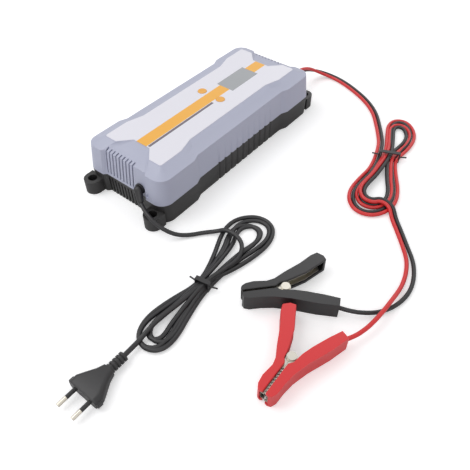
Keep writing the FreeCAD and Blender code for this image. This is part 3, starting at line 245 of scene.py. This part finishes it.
outputPair = {
    "diameter": 0.0044, "apart": 0.0048,
    "lead": [((0.161, -0.024, 0.034), 90), ((0.174, -0.024, 0.0326), 80), ((0.188, -0.023, 0.0288), 60),
             ((0.202, -0.0222, 0.0226), 40), ((0.2155, -0.0228, 0.0152), 20), ((0.2275, -0.028, 0.0084), 0),
             ((0.235, -0.039, 0.0038), 0), ((0.2362, -0.053, 0.0022), 0), ((0.232, -0.070, 0.0022), 0),
             ((0.225, -0.088, 0.0022), 0), ((0.216, -0.107, 0.0022), 0), ((0.2045, -0.125, 0.0022), 0),
             ((0.190, -0.141, 0.0022), 0), ((0.172, -0.1545, 0.0022), 0), ((0.152, -0.1685, 0.0022), 0),
             ((0.130, -0.1815, 0.003), 0)],
    "tailPair": [((0.022, -0.254, 0.0022), 0), ((0.008, -0.2675, 0.0022), 0), ((-0.008, -0.282, 0.0022), 0)],
    "left": [(0.086, -0.1945), (0.058, -0.193), (0.033, -0.194), (0.0165, -0.202), (0.0075, -0.215),
             (0.010, -0.230), (0.024, -0.2405), (0.044, -0.243), (0.066, -0.235), (0.088, -0.221)],
    "right": [(0.128, -0.208), (0.150, -0.210), (0.172, -0.2065), (0.188, -0.196), (0.1965, -0.183),
              (0.191, -0.1715), (0.177, -0.170), (0.156, -0.1795), (0.134, -0.190)],
    "leftMiddle": (0.050, -0.217), "rightMiddle": (0.160, -0.190), "shrink": 0.30, "turns": 2,
    "low": 0.0028, "lowRise": 0.0002,
    "tieLow": (0.109, -0.2085), "tieLowStep": 0.006, "tieLowUp": 0.0040, "tieLowRise": 0.0035,
    "tieHigh": (0.114, -0.1965), "tieHighStep": 0.004, "tieHighUp": 0.0045, "tieHighRise": 0.0045,
    "lastShrink": 0.7, "lastPoints": 7, "lastUp": 0.0078, "leave": (0.033, -0.2445, 0.0072),
}
redTail = [(-0.025, -0.293, 0.0022), (-0.041, -0.300, 0.0022), (-0.057, -0.3038, 0.0024),
           (-0.072, -0.305, 0.0052), (-0.086, -0.3054, 0.0096), (-0.101, -0.3052, 0.0108),
           (-0.116, -0.3042, 0.0106), (-0.131, -0.3018, 0.0098)]
blackTail = [(-0.022, -0.2985, 0.0022), (-0.037, -0.307, 0.0022), (-0.053, -0.3125, 0.0022),
             (-0.069, -0.3135, 0.0022), (-0.0845, -0.3105, 0.0022), (-0.0985, -0.304, 0.0026),
             (-0.1115, -0.2945, 0.0054)]
clampPlaces = {"black": (-0.1416, -0.2188, 137.1), "red": (-0.2005, -0.2660, -178.7)}
clampEnds = [(-0.0538, 0.03215, 0.0095), (-0.0422, 0.0244, 0.0095)]


def towards(point, middle, share):
    return (point[0] + (middle[0] - point[0]) * share, point[1] + (middle[1] - point[1]) * share)


def mainsTurns(cord):
    points = []
    for turn in range(cord["turns"]):
        order = cord["turns"] - 1 - turn
        swingX, swingY = cord["swing"][order]
        up = cord["tieUp"] + cord["tieRise"] * order
        x, y = cord["tie"]
        points.append((x, y - cord["tieApart"] + cord["tieCloser"] * order, up))
        left = [towards(p, cord["leftMiddle"], cord["leftShares"][order]) for p in cord["left"]]
        points += [(px - swingX, py + swingY, cord["low"]) for px, py in left]
        points.append((x, y + cord["tieApart"] - cord["tieCloser"] * order, up))
        right = [towards(p, cord["rightMiddle"], cord["rightShares"][order]) for p in cord["right"]]
        points += [(px + swingX, py - swingY, cord["low"]) for px, py in right]
    x, y = cord["tie"]
    points.append((x, y, cord["tieLast"]))
    return points


def pairTurns(pair):
    points = []
    for turn in range(pair["turns"]):
        share = pair["shrink"] * turn
        low = pair["low"] + pair["lowRise"] * turn
        points += [((*towards(p, pair["leftMiddle"], share), low), 0) for p in pair["left"]]
        points.append(((pair["tieLow"][0], pair["tieLow"][1] + pair["tieLowStep"] * turn,
                        pair["tieLowUp"] + pair["tieLowRise"] * turn), 0))
        points += [((*towards(p, pair["rightMiddle"], share), low), 0) for p in pair["right"]]
        points.append(((pair["tieHigh"][0], pair["tieHigh"][1] - pair["tieHighStep"] * turn,
                        pair["tieHighUp"] + pair["tieHighRise"] * turn), 0))
    share = pair["shrink"] * pair["turns"] * pair["lastShrink"]
    last = pair["left"][:pair["lastPoints"]]
    points += [((*towards(p, pair["leftMiddle"], share), pair["lastUp"]), 0) for p in last]
    points.append((pair["leave"], 0))
    return points


def sideBySide(route, hand):
    beside = []
    for at, (spot, roll) in enumerate(route):
        before = route[max(at - 1, 0)][0]
        after = route[min(at + 1, len(route) - 1)][0]
        run = Vector((after[0] - before[0], after[1] - before[1], 0)).normalized()
        turn = math.radians(roll)
        shift = Vector((run.y * math.cos(turn), -run.x * math.cos(turn), math.sin(turn)))
        beside.append(tuple(Vector(spot) + shift * hand * outputPair["apart"] / 2))
    return beside


def clampSpot(colour, spot):
    x, y, heading = clampPlaces[colour]
    turn = math.radians(heading)
    return (x + spot[0] * math.cos(turn) - spot[1] * math.sin(turn),
            y + spot[0] * math.sin(turn) + spot[1] * math.cos(turn), spot[2])


tubeDetail = {"around": 5, "along": 8, "order": 3}


def lead(name, points, diameter, slot):
    curve = bpy.data.curves.new(name, "CURVE")
    curve.dimensions = "3D"
    curve.bevel_depth = diameter / 2
    curve.bevel_resolution = tubeDetail["around"]
    curve.resolution_u = tubeDetail["along"]
    curve.use_fill_caps = True
    spline = curve.splines.new("NURBS")
    spline.points.add(len(points) - 1)
    for point, place in zip(spline.points, points):
        point.co = (*place, 1.0)
    spline.order_u = tubeDetail["order"]
    spline.use_endpoint_u = True
    curve.materials.append(materials[slot])
    cordObject = bpy.data.objects.new(name, curve)
    bpy.context.scene.collection.objects.link(cordObject)
    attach(cordObject, "charger")
    return cordObject


mainsLead = lead("mainsFlex", mainsCord["lead"] + mainsTurns(mainsCord) + mainsCord["tail"],
                 mainsCord["diameter"], "cord_black")
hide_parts("mains_cord_lead", "mains_cord_tail", "mains_cord_hank")
pairRoute = outputPair["lead"] + pairTurns(outputPair) + outputPair["tailPair"]
for colour, hand, tail in (("red", 1, redTail), ("black", -1, blackTail)):
    route = sideBySide(pairRoute, hand) + tail + [clampSpot(colour, spot) for spot in clampEnds]
    outputLead = lead(colour + "OutputLead", route, outputPair["diameter"], "cord_" + colour)
    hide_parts(f"dc_{colour}_lead", f"dc_{colour}_tail", "dc_cord_hank")
print("leads made")


# floor, lights and camera
studio = {"floor": "#F4F4F5", "key": 6.0, "fill": 2.8, "rim": 2.4, "ambient": 0.50, "floorGlow": 0.34}
bpy.ops.mesh.primitive_plane_add(size=8.0, location=(0, 0, -0.0003))
floor = bpy.context.object
floor.name = "studioFloor"
floorMaterial, floorTree, floorShader, floorWhere = newMaterial("studioPaper", {"Roughness": 0.9})
floorShader.inputs["Base Color"].default_value = linear(studio["floor"])
glow = addNode(floorTree, "ShaderNodeLightPath").outputs["Is Camera Ray"]
glowShare = addNode(floorTree, "ShaderNodeMath", {"operation": "MULTIPLY"}, {0: glow, 1: studio["floorGlow"]})
floorShader.inputs["Emission Color"].default_value = (1, 1, 1, 1)
floorTree.links.new(glowShare.outputs[0], floorShader.inputs["Emission Strength"])
floor.data.materials.append(floorMaterial)


def softBox(name, place, aim, size, power):
    lamp = bpy.data.lights.new(name, "AREA")
    lamp.shape = "RECTANGLE"
    lamp.size = size
    lamp.size_y = size
    lamp.energy = power
    lampObject = bpy.data.objects.new(name, lamp)
    lampObject.location = place
    lampObject.rotation_euler = (Vector(aim) - Vector(place)).to_track_quat("-Z", "Y").to_euler()
    bpy.context.scene.collection.objects.link(lampObject)


middle = (-0.05, -0.12, 0.0)
softBox("keyLamp", (-0.5, 0.5, 1.1), middle, 0.9, studio["key"])
softBox("fillLamp", (-0.9, -0.9, 0.9), middle, 1.0, studio["fill"])
softBox("rimLamp", (0.9, 0.1, 0.9), middle, 0.9, studio["rim"])

world = bpy.data.worlds.new("studioWorld")
bpy.context.scene.world = world
world.use_nodes = True
worldTree = world.node_tree
background = worldTree.nodes["Background"]
background.inputs["Color"].default_value = (1, 1, 1, 1)
rays = addNode(worldTree, "ShaderNodeLightPath")
cameraOrGlossy = addNode(worldTree, "ShaderNodeMath", {"operation": "MAXIMUM"},
                         {0: rays.outputs["Is Camera Ray"], 1: rays.outputs["Is Glossy Ray"]})
seen = addNode(worldTree, "ShaderNodeMath", {"operation": "MAXIMUM"},
               {0: cameraOrGlossy.outputs[0], 1: rays.outputs["Is Transmission Ray"]})
strength = addNode(worldTree, "ShaderNodeMapRange", None,
                   {"Value": seen.outputs[0], "To Min": studio["ambient"], "To Max": 1.0})
worldTree.links.new(strength.outputs["Result"], background.inputs["Strength"])

cameraSet = {"lens": 39.93, "sensor": 36.0, "place": (-0.410, -0.3687, 0.421), "aim": (-0.1071, -0.1290, 0.0)}
cameraData = bpy.data.cameras.new("studioCamera")
cameraData.lens = cameraSet["lens"]
cameraData.sensor_width = cameraSet["sensor"]
cameraObject = bpy.data.objects.new("studioCamera", cameraData)
cameraObject.location = cameraSet["place"]
aim = Vector(cameraSet["aim"])
cameraObject.rotation_euler = (aim - cameraObject.location).to_track_quat("-Z", "Y").to_euler()
bpy.context.scene.collection.objects.link(cameraObject)
bpy.context.scene.camera = cameraObject
bpy.context.scene.view_settings.view_transform = "Standard"
print("studio ready")
